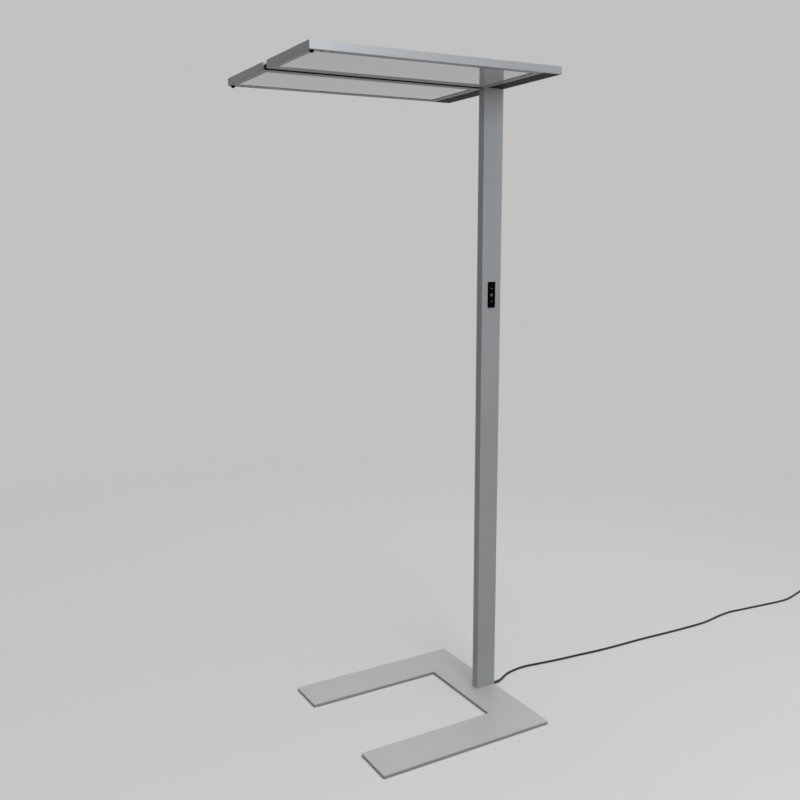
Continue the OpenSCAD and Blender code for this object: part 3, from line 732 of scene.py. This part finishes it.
def sweep(path: np.ndarray, radius: float, sides: int) -> np.ndarray:
    """A round section carried along a path, level across it: centre + radius (cos a across + sin a up).

    Args:
        path: The points followed, one a row, never straight up.
        radius: The section's radius.
        sides: Points round the section.

    Returns:
        Points by ring, by place round the ring, by axis.
    """
    along = np.gradient(path, axis=0)
    along /= np.linalg.norm(along, axis=1, keepdims=True)
    across = np.cross((0.0, 0.0, 1.0), along)
    across /= np.linalg.norm(across, axis=1, keepdims=True)
    up = np.cross(along, across)
    turn = turns_of(sides)[None, :, None]
    return path[:, None] + radius * (np.cos(turn) * across[:, None] + np.sin(turn) * up[:, None])


def revolved(profile: np.ndarray, sides: int) -> np.ndarray:
    """A profile of (radius, height) pairs turned about Z: (r cos a, r sin a, h).

    Args:
        profile: The pairs, one a row.
        sides: Points round the axis.

    Returns:
        Points by profile point, by place round the axis, by axis.
    """
    radius, height = profile[:, 0, None], profile[:, 1, None]
    turn = turns_of(sides)
    return np.stack(np.broadcast_arrays(radius * np.cos(turn), radius * np.sin(turn), height), axis=2)


def smooth_path(points: np.ndarray, step: float) -> np.ndarray:
    """A smooth curve through given points: between two neighbours it is the cubic whose slope at each
    is half the way from the point before to the point after.

    Args:
        points: The points, one a row.
        step: Distance between the curve's own points, about.

    Returns:
        The curve's points.
    """
    ends = np.vstack([2 * points[0] - points[1], points, 2 * points[-1] - points[-2]])
    runs = []
    for a, b, c, d in zip(ends[:-3], ends[1:-2], ends[2:-1], ends[3:]):
        count = max(1, round(float(np.linalg.norm(c - b)) / step))
        t = np.linspace(0.0, 1.0, count + 1)[:-1, None]
        cubic = 2 * b + (c - a) * t + (2 * a - 5 * b + 4 * c - d) * t**2 + (3 * b - a - 3 * c + d) * t**3
        runs.append(cubic / 2)
    return np.vstack([*runs, points[-1:]])


def distances(path: np.ndarray) -> np.ndarray:
    """How far along a row of points each of them is."""
    return np.append(0.0, np.cumsum(np.linalg.norm(np.diff(path, axis=0), axis=1)))


def room_of(node: str) -> tuple[np.ndarray, np.ndarray, np.ndarray]:
    """The lowest corner, the highest corner and the middle of a node's box."""
    low, high = (np.array(corner, float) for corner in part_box(node))
    return low, high, (low + high) / 2


def long_rims(work: bmesh.types.BMesh) -> list[bmesh.types.BMEdge]:
    """The outward sharp edges of a mesh that join into a run with a long edge in it. The rims of small holes
    are not among them.

    Args:
        work: The mesh.

    Returns:
        The edges.
    """
    left = {
        line
        for line in work.edges
        if line.is_convex and line.is_manifold and line.calc_face_angle(0.0) > SHARP
    }
    found = []
    while left:
        run = [left.pop()]
        for line in run:
            near = {other for end in line.verts for other in end.link_edges} & left
            left -= near
            run.extend(near)
        if max(line.calc_length() for line in run) > LONG_EDGE:
            found += run
    return found


def dress(obj: Piece, *finishes: Finish) -> None:
    """Gives an object its materials.

    Args:
        obj: The object.
        finishes: One finish for each material slot.
    """
    obj.data.materials.clear()
    for finish in finishes:
        obj.data.materials.append(finish.material())


@dataclass
class Part:
    """A sub-assembly of the lamp. Its children hold its sizes and make its pieces."""

    frame: dict[str, Any]
    made: list[Piece] = field(default_factory=list, init=False)

    def node(self, name: str) -> Piece:
        """The frame's node of that name."""
        return self.frame["nodes"][name]

    def slot_of(self, name: str) -> Slot:
        """The material slot that the record gives a node."""
        rows = self.frame["record"]["subparts"]
        return Slot(next(row["material_slot"] for row in rows if row["node"] == name))

    def keep(self, *names: str) -> None:
        """Leaves nodes as they are and gives them their finish.

        Args:
            names: The nodes.
        """
        for name in names:
            dress(self.node(name), FINISHES[self.slot_of(name)])

    def add(
        self, obj: Piece, slot: Slot, *finishes: Finish, replaced: tuple[str, ...] = (), body: str = LAMP
    ) -> Piece:
        """Dresses a piece, puts it on a body and notes it.

        Args:
            obj: The piece.
            slot: The record's slot that it takes its finish from.
            finishes: Its own finishes, where they aren't the slot's.
            replaced: The nodes that it stands for.
            body: The body that it moves with.

        Returns:
            The same piece.
        """
        dress(obj, *(finishes or [FINISHES[slot]]))
        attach(obj, body)
        if replaced:
            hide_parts(*replaced)
        self.made.append(obj)
        return obj

    def eased(self, name: str, width: float, *edge: Finish, body: str = LAMP) -> Piece:
        """A copy of a node with its long sharp edges rounded, in the node's place.

        Args:
            name: The node.
            width: How far the rounding reaches from each edge, or 0 to leave the edges sharp.
            edge: The finish of the rounding, where it differs from the node's: a lighter copy, which paints a
                highlight along the edges.
            body: The body that the node is on.

        Returns:
            The copy.
        """
        slot = self.slot_of(name)
        mesh = self.node(name).data.copy()
        work = bmesh.new()
        work.from_mesh(mesh)
        bmesh.ops.remove_doubles(work, verts=work.verts, dist=WELD)
        bmesh.ops.dissolve_limit(work, angle_limit=FLAT, verts=work.verts, edges=work.edges)
        if width:
            bmesh.ops.bevel(
                work,
                geom=long_rims(work),
                offset=width,
                offset_type="OFFSET",
                segments=EASING_STEPS,
                profile=0.5,
                affect="EDGES",
                clamp_overlap=False,
                loop_slide=False,
                material=1 if edge else -1,
            )
        for face in work.faces:
            face.smooth = True
        for line in work.edges:
            line.smooth = line.calc_face_angle(math.pi) < CREASE
        work.to_mesh(mesh)
        work.free()
        copy = new_object(f"{name}_eased", mesh)
        flat = copy.modifiers.new("flat_faces", "WEIGHTED_NORMAL")
        flat.mode = "FACE_AREA"
        flat.keep_sharp = True
        return self.add(copy, slot, FINISHES[slot], *edge, replaced=(name,), body=body)

    def build(self) -> None:
        """Makes the sub-assembly's pieces. Each child has its own."""
        raise NotImplementedError

    def report(self) -> None:
        """Logs each piece that was made."""
        for obj in self.made:
            LOG.info("%s: %s", type(self).__name__, obj.name)


# ---- Mains lead ----


@dataclass
class MainsLead(Part):
    """The lead from the column's foot along the floor, its coil beyond the view, and its earthed plug."""

    diameter: float = 7.0 * MM
    lay: float = 3.6 * MM
    exit_height: float = 6.0 * MM
    coil_centre: tuple[float, float] = (-2.056, 0.036)
    coil_start_angle: float = -78.0
    coil_turns: float = 5.25
    coil_radius: float = 48.0 * MM
    coil_pitch: float = 7.6 * MM
    stub: float = 8.0 * MM
    step: float = 3.0 * MM
    sides: int = 16
    # Two given points, where the tail rises from the coil to the plug
    tail_rise: tuple[Triple, ...] = ((-2.108, 0.055, 0.0125), (-2.110, 0.074, 0.0155))
    plug_x: float = -2.110
    plug_back: float = 96.0 * MM
    plug_height: float = 16.5 * MM
    plug_steps: int = 12
    plug_sides: int = 64
    # The ribs on the plug's relief: from where to where by its length, how many to a length, and how high by
    # its radius
    rib_from: float = 0.52
    rib_to: float = 0.96
    ribs: int = 11
    rib_height: float = 0.05
    easing: float = 0.3 * MM

    def floor_route(self) -> np.ndarray:
        """The listed points from the strain relief to the coil, in millimetres turned to metres.

        Returns:
            The points.
        """
        low = self.lay / MM
        high = self.exit_height / MM
        points = [
            (-397, 0, high), (-407, -0.4, high), (-418, -3.4, 5.4), (-433, -10.5, 4.3), (-454, -22.5, low),
            (-481, -34, low), (-533, -43, low), (-575, -42, low), (-616, -36, low), (-697, -25, low),
            (-784, -17, low), (-872, -8, low), (-966, -3, low), (-1064, 0, low), (-1163, 6, low),
            (-1262, 12, low), (-1369, 15, low), (-1426, 12, low), (-1498, 1, low), (-1565, -4, low),
            (-1615, 1, low), (-1667, 7, low), (-1772, 19, low), (-1829, 25, low), (-1893, 24, low),
            (-2005, -2, low),
        ]  # fmt: skip
        return np.array(points, float) * MM

    def coil(self, turns: np.ndarray) -> np.ndarray:
        """The coil: it winds inwards on the floor, climbs, and winds out again on itself. Its radius is the
        outer one less the pitch for each turn from the nearer end, and its height eases up by one pitch in
        the half turn about the middle.

        Args:
            turns: Turns from the start, one value a point.

        Returns:
            The points.
        """
        middle = self.coil_turns / 2
        angle = np.radians(self.coil_start_angle) - math.tau * turns
        radius = self.coil_radius - self.coil_pitch * (middle - np.abs(turns - middle))
        rise = np.clip((turns - middle) * 2 + 0.5, 0.0, 1.0)
        height = self.lay + self.coil_pitch * rise**2 * (3 - 2 * rise)
        x, y = self.coil_centre
        return np.stack([x + radius * np.cos(angle), y + radius * np.sin(angle), height], axis=1)

    def heading(self, turns: float) -> np.ndarray:
        """The level direction of the coil after so many turns."""
        angle = math.radians(self.coil_start_angle) - math.tau * turns
        return np.array([math.sin(angle), -math.cos(angle), 0.0])

    def centreline(self) -> np.ndarray:
        """The whole lead's centreline: the floor route, the coil and the tail up to the plug.

        Returns:
            The points.
        """
        count = round(self.coil_turns * math.tau * self.coil_radius / self.step)
        turns = self.coil(np.linspace(0.0, self.coil_turns, count))
        start = turns[0] - self.diameter * self.heading(0.0)
        end = turns[-1] + self.diameter * self.heading(self.coil_turns)
        run_in = np.vstack([self.floor_route(), start - self.stub * self.heading(0.0), start])
        tail = np.array([
            end,
            end + self.stub * self.heading(self.coil_turns),
            *self.tail_rise,
            (self.plug_x, self.plug_back - self.stub, self.plug_height),
            (self.plug_x, self.plug_back, self.plug_height),
        ])
        return np.vstack([smooth_path(run_in, self.step), turns, smooth_path(tail, self.step)])

    def build(self) -> None:
        path = self.centreline()
        lead = closed_tube("mains_lead", sweep(path, self.diameter / 2, self.sides))
        self.map_along(lead, path)
        self.add(lead, Slot.LEAD_JACKET, replaced=("cord_lead", "cord_coil", "cord_tail"))
        plug = self.plug()
        pins = self.eased("plug_pins", self.easing)
        relief = self.eased("cord_relief", self.easing)
        self.keep("column_cable", "head_leads")

    def map_along(self, lead: Piece, path: np.ndarray) -> None:
        """Gives the lead a UV map: U is metres along it, and V is turns about it from one side, either way.

        Args:
            lead: The lead's object.
            path: Its centreline.
        """
        corners = np.zeros(len(lead.data.loops), np.int32)
        lead.data.loops.foreach_get("vertex_index", corners)
        ring, place = corners // self.sides, corners % self.sides
        layer = lead.data.uv_layers.new(name="along")
        uv = np.stack([distances(path)[ring], np.abs(place / self.sides - 0.5)], axis=1)
        layer.data.foreach_set("uv", uv.astype(np.float32).ravel())

    def plug(self) -> Piece:
        """The moulded plug: rings along its axis whose radius follows a profile, held in by two flats, with
        raised rings on its strain relief, each the square of a sine's upper half.

        Returns:
            The plug's object.
        """
        low, high, middle = room_of("plug_body")
        radius, length, flat = (high - low) * (0.5, 1.0, 0.5)
        # Distance from the pins' face as a share of the length, and radius as a share of the largest
        stations = np.array([0.0, 0.0, 0.015, 0.18, 0.225, 0.36, 0.42, 0.5, 1.0, 1.0])
        radii = np.array([0.001, 0.94, 1.0, 1.0, 0.85, 0.76, 0.52, 0.31, 0.254, 0.001])
        runs = len(stations) - 1
        index = np.linspace(0, runs, runs * self.plug_steps + 1)
        fine, profile = (np.interp(index, range(runs + 1), values) for values in (stations, radii))
        ribs = np.clip(np.sin((fine - self.rib_from) * math.tau * self.ribs), 0.0, 1.0) ** 2
        profile += self.rib_height * ribs * ((fine > self.rib_from) & (fine < self.rib_to))
        rings = revolved(np.stack([profile * radius, -fine * length], axis=1), self.plug_sides)
        up = np.clip(rings[..., 1], -flat, flat)
        points = np.stack([middle[0] + rings[..., 0], high[1] + rings[..., 2], middle[2] + up], axis=2)
        return self.add(closed_tube("plug_moulding", points), Slot.LEAD_RUBBER, replaced=("plug_body",))


# ---- Base and column ----


@dataclass
class Base(Part):
    """The U-shaped steel plate on its glides."""

    easing: float = 0.5 * MM

    def build(self) -> None:
        """Makes the plate, its glides and its screws."""
        # The plate's rounded edges take the lighter silver, a painted highlight
        self.eased("base_plate", self.easing, SILVER_PAINTED_HIGHLIGHT)
        self.eased("base_glides", self.easing)
        self.keep("base_screws")


@dataclass
class Column(Part):
    """The aluminium extrusion, its cap and what joins it to the head."""

    easing: float = 0.25 * MM

    def build(self) -> None:
        """Makes the column, its cap, the bracket, the spine and their screws. The column's corners are round
        already."""
        self.eased("column_profile", 0.0)
        self.eased("column_cap", self.easing)
        # The spine's rounded edges take the lighter black, a painted highlight
        self.eased("head_spine", self.easing, BLACK_PAINTED_HIGHLIGHT)
        self.eased("spine_cap", self.easing)
        self.keep("head_bracket", "spine_screws", "column_screws")


# ---- Keypad ----


@dataclass
class Keypad(Part):
    """Three gloss black keys in a bezel on the column, each with its print."""

    easing: float = 0.35 * MM
    pitch: float = 20.0 * MM
    triangle: float = 4.0 * MM
    # A triangle's height by its width, and the bar's two ends by the ring's radius
    triangle_rise: float = 0.8
    bar_from: float = 0.15
    bar_to: float = 1.15
    ring_radius: float = 3.1 * MM
    line: float = 1.0 * MM
    print_height: float = 0.05 * MM
    sunk: float = 0.3 * MM
    arc_steps: int = 40
    opening: float = 60.0

    def build(self) -> None:
        """Makes the bezel, the keys with their prints, and what is behind them."""
        self.eased("keypad_bezel", self.easing)
        self.keep("keypad_tray", "keypad_board", "keypad_switches")
        for name, body, mark, place in (
            ("key_up", "up_key", Mark.BRIGHTER, 1),
            ("key_power", "power_key", Mark.POWER, 0),
            ("key_down", "down_key", Mark.DIMMER, -1),
        ):
            self.eased(name, self.easing, body=body)
            for piece in self.prints(name, mark, place):
                self.add(piece, Slot.KEYPAD_GLOSS, PRINT, body=body)

    def prints(self, key: str, mark: Mark, place: int) -> list[Piece]:
        """The raised print on a key.

        Args:
            key: The key's node.
            mark: Which print.
            place: The key's place from the middle one, upwards.

        Returns:
            The print's pieces.
        """
        centre = room_of("keypad_bezel")[2][[0, 2]] + (0.0, place * self.pitch)
        face = room_of(key)[1][1]
        if mark is Mark.POWER:
            return [
                self.slab(f"{key}_ring", self.open_ring() + centre, face),
                self.slab(f"{key}_bar", self.bar() + centre, face),
            ]
        tip = 1 if mark is Mark.BRIGHTER else -1
        half = self.triangle / 2
        rise = half * self.triangle_rise * tip
        corners = np.array([(-half, -rise), (half, -rise), (0.0, rise)])
        return [self.slab(f"{key}_triangle", corners + centre, face)]

    def open_ring(self) -> np.ndarray:
        """Outline of a ring that is open at its top: along its outer arc, and back along the inner one.

        Returns:
            The corners.
        """
        gap = math.radians(self.opening / 2)
        turn = np.linspace(gap, math.tau - gap, self.arc_steps)
        arc = np.stack([np.sin(turn), np.cos(turn)], axis=1)
        outer = arc * (self.ring_radius + self.line / 2)
        inner = arc[::-1] * (self.ring_radius - self.line / 2)
        return np.vstack([outer, inner])

    def bar(self) -> np.ndarray:
        """Outline of the bar in the ring's opening."""
        half, low, high = self.line / 2, self.ring_radius * self.bar_from, self.ring_radius * self.bar_to
        return np.array([(-half, low), (half, low), (half, high), (-half, high)])

    def slab(self, name: str, outline: np.ndarray, face: float) -> Piece:
        """A flat print: an outline in the column's face, carried outwards from just under the key's surface.

        Args:
            name: The piece's name.
            outline: Its corners, across and up.
            face: How far out the key's surface is.

        Returns:
            The piece.
        """
        depths = np.array([face - self.sunk, face + self.print_height])[:, None]
        points = np.stack(np.broadcast_arrays(outline[:, 0], depths, outline[:, 1]), axis=2)
        return closed_tube(name, points, smooth=False)


# ---- Light panels ----


@dataclass
class LightPanel(Part):
    """One of the two panels: a silver frame round an opal sheet, with lenses, cover, lid and insides."""

    side: Side = Side.NEAR
    easing: float = 0.3 * MM
    lens_easing: float = 0.2 * MM
    dome_rise: float = 6.5 * MM
    dome_facets: int = 12
    dome_rings: int = 4
    dome_steps: int = 32
    dome_sides: int = 96
    # Half a dimple's greatest depth by the dome's size, then the rim's width and thickness, and the radius at
    # which the flat top closes
    dimple: float = 0.02
    flange: float = 1.0 * MM
    pole: float = 0.1 * MM

    def build(self) -> None:
        """Makes the panel's shell, its sheets and its lenses, and dresses what it holds."""
        name = self.side.value
        # The frame's rounded edges take the lighter silver, a painted highlight
        self.eased(f"{name}_frame", self.easing, SILVER_PAINTED_HIGHLIGHT)
        self.eased(f"{name}_rear_cover", self.easing)
        # The lid's rounded edges take the same painted highlight
        self.eased(f"{name}_top_cover", self.easing, SILVER_PAINTED_HIGHLIGHT)
        self.eased(f"{name}_light_sensor", self.lens_easing)
        self.eased(f"{name}_remote_eye", self.lens_easing)
        self.dome()
        sheets = ("diffuser", "light_guide", "led_strips", "reflector", "back_plate", "uplight_board")
        self.keep(*(f"{name}_{part}" for part in (*sheets, "driver", "sensor_board")))
        dress(self.node(f"{name}_uplight_window"), OPAL_WINDOW)

    def dome(self) -> None:
        """The presence sensor's lens: a disc whose underside is a cap, dimpled in rings of facets.

        The cap is (radius sin b, rise cos b), where b is the share s of a right angle, and s is 1 at the rim.
        Each facet is a dimple of (cos of its ring's phase) (cos of its place round the ring), times
        4 s (1 - s), which is 1 half way out and 0 at the pole and the rim.
        """
        node = f"{self.side.value}_pir_lens"
        low, high, middle = room_of(node)
        outer = (high[0] - low[0]) / 2
        radius = outer - self.flange
        share = np.linspace(0.0, 1.0, self.dome_steps + 1)[1:]
        s, a = np.meshgrid(share, turns_of(self.dome_sides), indexing="ij")
        ripple = np.cos(s * self.dome_rings * math.tau) * np.cos(a * self.dome_facets)
        size = 1 - self.dimple * (1 + ripple) * s * (1 - s) * 4
        out = radius * size * np.sin(s * math.pi / 2)
        depth = self.dome_rise * size * np.cos(s * math.pi / 2)
        cap = np.stack([out * np.cos(a), out * np.sin(a), low[2] + self.dome_rise - depth], axis=2)
        top, under = high[2], high[2] - self.flange
        wall = np.array([(radius, under), (outer, under), (outer, top), (self.pole, top)])
        rings = np.concatenate([cap, revolved(wall, self.dome_sides)]) + (middle[0], middle[1], 0.0)
        made = closed_tube(f"{node}_dome", rings)
        self.add(made, self.slot_of(node), FINISHES[Slot.KEYPAD_GLOSS], replaced=(node,))


@dataclass
class PanelScrews(Part):
    """The screws that hold the lids of both panels."""

    def build(self) -> None:
        """Dresses the screws."""
        self.keep("top_cover_screws")


# ---- Studio ----


@dataclass
class Softbox:
    """A rectangular lamp that faces a point."""

    name: str
    place: Triple
    aim: Triple
    width: float
    height: float
    power: float
    colour: Colour = (1.0, 1.0, 1.0)

    def build(self) -> None:
        """Adds the lamp to the scene."""
        lamp = bpy.data.lights.new(self.name, "AREA")
        lamp.shape = "RECTANGLE"
        lamp.size = self.width
        lamp.size_y = self.height
        lamp.energy = self.power
        lamp.color = self.colour
        made = new_object(self.name, lamp)
        made.location = self.place
        made.rotation_euler = (Vector(self.aim) - Vector(self.place)).to_track_quat("-Z", "Y").to_euler()
        made.visible_camera = False


@dataclass
class Studio:
    """A plain pale floor under soft light, and the camera where the photograph was taken from."""

    camera_place: Triple = (1.3275, 2.2534, 1.4753)
    # Turns about X, Y and Z in degrees
    camera_turns: Triple = (79.791, 0.688, 151.544)
    sensor: float = 36.0
    lens: float = 39.894
    shift_x: float = 0.0502
    shift_y: float = 0.0057
    floor_half: float = 14.0
    floor_points: int = 9
    floor: StudioFloor = StudioFloor("pale_floor", (0.63, 0.626, 0.621), 0.75)
    ambient: float = 0.04
    softboxes: tuple[Softbox, ...] = (
        Softbox("window_light", (0.0, 2.05, 2.1), (-0.12, 0.1, 1.8), 1.0, 1.2, 18.6, (0.9, 0.955, 1.0)),
        Softbox("ceiling_light", (-1.0, 1.0, 12.0), (-0.1, 0.0, 0.0), 16.0, 16.0, 1900.0),
    )

    def camera(self) -> None:
        """Adds the camera."""
        data = bpy.data.cameras.new("photo_camera")
        data.lens = self.lens
        data.sensor_width = self.sensor
        data.shift_x = self.shift_x
        data.shift_y = self.shift_y
        made = new_object("photo_camera", data)
        made.location = self.camera_place
        made.rotation_euler = Euler([math.radians(turn) for turn in self.camera_turns], "XYZ")
        bpy.context.scene.camera = made

    def ground(self) -> None:
        """Adds the floor as a level square grid."""
        side = np.linspace(-self.floor_half, self.floor_half, self.floor_points)
        x, y = np.meshgrid(side, side, indexing="xy")
        points = np.stack([x, y, np.zeros_like(x)], axis=2)
        faces = grid_faces(self.floor_points, self.floor_points)[:, ::-1]
        made = put_mesh("pale_floor", points, faces.tolist())
        dress(made, self.floor)

    def world(self) -> None:
        """Sets the light from all round: the backdrop where it is seen or mirrored, and a dimmer fill on
        surfaces."""
        world = bpy.data.worlds.new("studio")
        world.use_nodes = True
        bpy.context.scene.world = world
        graph = Graph(world.node_tree)
        graph.tree.nodes.clear()
        seen = seen_rays(graph)
        fill = graph.node("Background", {"Color": (1.0, 1.0, 1.0, 1.0), "Strength": self.ambient})
        backdrop = graph.node("Background", {"Color": (*self.floor.backdrop, 1.0), "Strength": 1.0})
        mixed = graph.node("MixShader", {0: seen, 1: fill.outputs[0], 2: backdrop.outputs[0]})
        graph.node("OutputWorld", {"Surface": mixed.outputs[0]})

    def light(self) -> None:
        """Adds the floor, the lamps and the world, and shows colours as they are written."""
        self.ground()
        for box in self.softboxes:
            box.build()
        self.world()
        bpy.context.scene.view_settings.view_transform = "Standard"


def corners(bounds: tuple[Vector, Vector]) -> list[list[float]]:
    """Two corners as plain lists of numbers."""
    return [list(corner) for corner in bounds]


def main() -> None:
    """Builds the lamp's looks on the frame, with the studio's camera, floor and lights."""
    logging.basicConfig(level=logging.INFO, format="%(message)s", stream=sys.stdout)
    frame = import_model()
    studio = Studio()
    studio.camera()
    parts: list[Part] = [
        MainsLead(frame),
        Base(frame),
        Column(frame),
        Keypad(frame),
        LightPanel(frame, side=Side.NEAR),
        LightPanel(frame, side=Side.FAR),
        PanelScrews(frame),
    ]
    for part in parts:
        part.build()
        part.report()
    studio.light()


if __name__ == "__main__":
    main()
